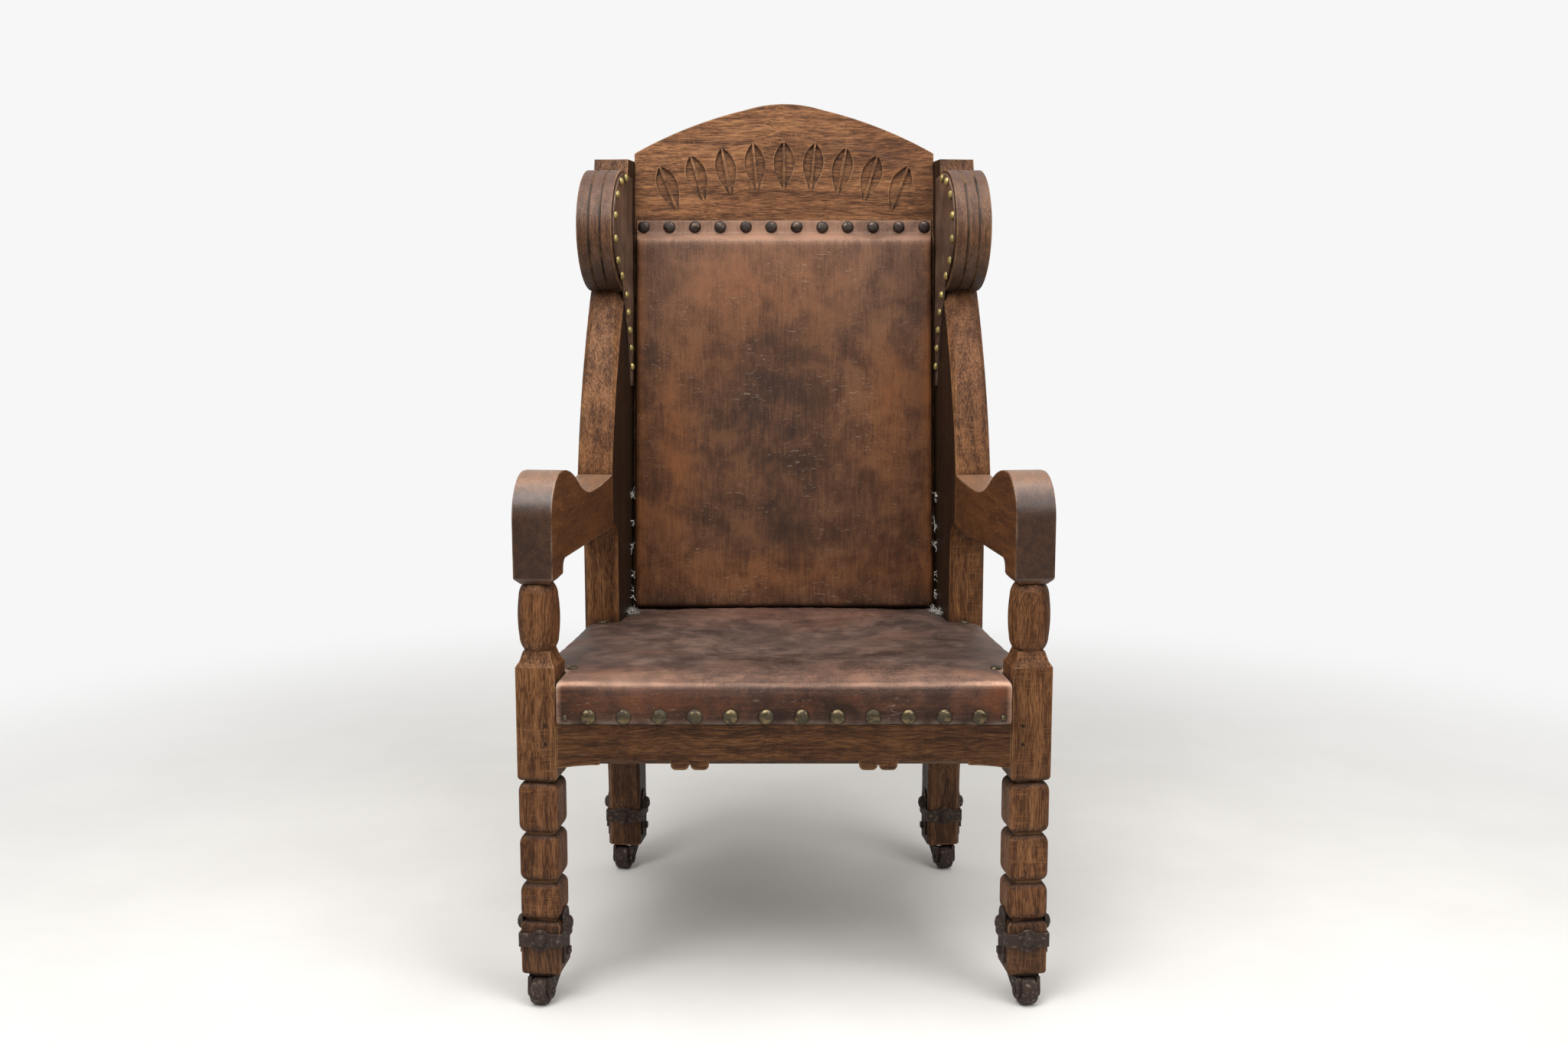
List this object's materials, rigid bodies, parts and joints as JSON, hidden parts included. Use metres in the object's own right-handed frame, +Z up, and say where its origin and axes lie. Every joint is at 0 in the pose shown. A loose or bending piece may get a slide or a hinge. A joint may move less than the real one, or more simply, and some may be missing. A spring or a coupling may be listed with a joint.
{
  "type": "throne chair",
  "caption": "High-backed oak armchair with round ears, arched crest, nailed leather seat and back, and iron-collared feet on swivelling castors.",
  "frame": {"origin": "on the floor, in the middle of the chair's bounding box", "axes": "+Z up, +X to the right as seen from the front, the chair faces -Y"},
  "size_m": [0.7411, 0.6132, 1.2852],
  "materials": {
    "oak": "aged waxed dark oak",
    "seat_leather": "worn dark hide",
    "back_leather": "worn brown hide",
    "wing_leather": "worn brown hide",
    "webbing": "jute webbing",
    "stuffing": "fibre stuffing",
    "nail_brass": "worn brass",
    "nail_bronze": "darkened bronze",
    "iron": "rusty dark iron"
  },
  "bodies": {
    "chair": {"front_leg_left": "oak", "front_leg_right": "oak", "rear_post_left": "oak", "rear_post_right": "oak", "arm_left": "oak", "arm_right": "oak", "ear_left": "oak", "ear_right": "oak", "side_seat_rail_left": "oak", "side_seat_rail_right": "oak", "back_stile_left": "oak", "back_stile_right": "oak", "front_seat_rail": "oak", "rear_seat_rail": "oak", "crest_rail": "oak", "lower_back_rail": "oak", "seat_corner_blocks": "oak", "joint_pegs": "oak", "seat_leather": "seat_leather", "back_leather": "back_leather", "outside_back": "back_leather", "wing_leather_left": "wing_leather", "wing_leather_right": "wing_leather", "seat_webbing": "webbing", "back_webbing": "webbing", "seat_stuffing": "stuffing", "back_stuffing": "stuffing", "seat_nails": "nail_brass", "wing_nails": "nail_brass", "crest_nails": "nail_bronze", "outside_back_nails": "nail_bronze", "foot_collar_front_left": "iron", "foot_collar_front_right": "iron", "foot_collar_rear_left": "iron", "foot_collar_rear_right": "iron", "collar_bolts": "iron", "collar_side_bolts": "iron", "collar_screws": "iron", "castor_plate_front_left": "iron", "castor_plate_front_right": "iron", "castor_plate_rear_left": "iron", "castor_plate_rear_right": "iron"},
    "castor_front_left": {"castor_fork_front_left": "iron", "castor_axle_front_left": "iron"},
    "wheel_front_left": {"castor_wheel_front_left": "iron"},
    "castor_front_right": {"castor_fork_front_right": "iron", "castor_axle_front_right": "iron"},
    "wheel_front_right": {"castor_wheel_front_right": "iron"},
    "castor_rear_left": {"castor_fork_rear_left": "iron", "castor_axle_rear_left": "iron"},
    "wheel_rear_left": {"castor_wheel_rear_left": "iron"},
    "castor_rear_right": {"castor_fork_rear_right": "iron", "castor_axle_rear_right": "iron"},
    "wheel_rear_right": {"castor_wheel_rear_right": "iron"}
  },
  "joints": [
    {"name": "castor_swivel_front_left", "type": "hinge", "parent": "chair", "child": "castor_front_left", "pos_m": [-0.33284, -0.26793, 0.04], "axis": [0, 0, 1], "continuous": true},
    {"name": "wheel_roll_front_left", "type": "hinge", "parent": "castor_front_left", "child": "wheel_front_left", "pos_m": [-0.33738, -0.28534, 0.0195], "axis": [0.9677, -0.2521, 0], "continuous": true},
    {"name": "castor_swivel_front_right", "type": "hinge", "parent": "chair", "child": "castor_front_right", "pos_m": [0.33284, -0.26793, 0.04], "axis": [0, 0, 1], "continuous": true},
    {"name": "wheel_roll_front_right", "type": "hinge", "parent": "castor_front_right", "child": "wheel_front_right", "pos_m": [0.33738, -0.28534, 0.0195], "axis": [0.9677, 0.2521, 0], "continuous": true},
    {"name": "castor_swivel_rear_left", "type": "hinge", "parent": "chair", "child": "castor_rear_left", "pos_m": [-0.27049, 0.27098, 0.04], "axis": [0, 0, 1], "continuous": true},
    {"name": "wheel_roll_rear_left", "type": "hinge", "parent": "castor_rear_left", "child": "wheel_rear_left", "pos_m": [-0.27502, 0.25356, 0.0195], "axis": [0.9677, -0.2521, 0], "continuous": true},
    {"name": "castor_swivel_rear_right", "type": "hinge", "parent": "chair", "child": "castor_rear_right", "pos_m": [0.27049, 0.27098, 0.04], "axis": [0, 0, 1], "continuous": true},
    {"name": "wheel_roll_rear_right", "type": "hinge", "parent": "castor_rear_right", "child": "wheel_rear_right", "pos_m": [0.27502, 0.25356, 0.0195], "axis": [0.9677, 0.2521, 0], "continuous": true}
  ]
}
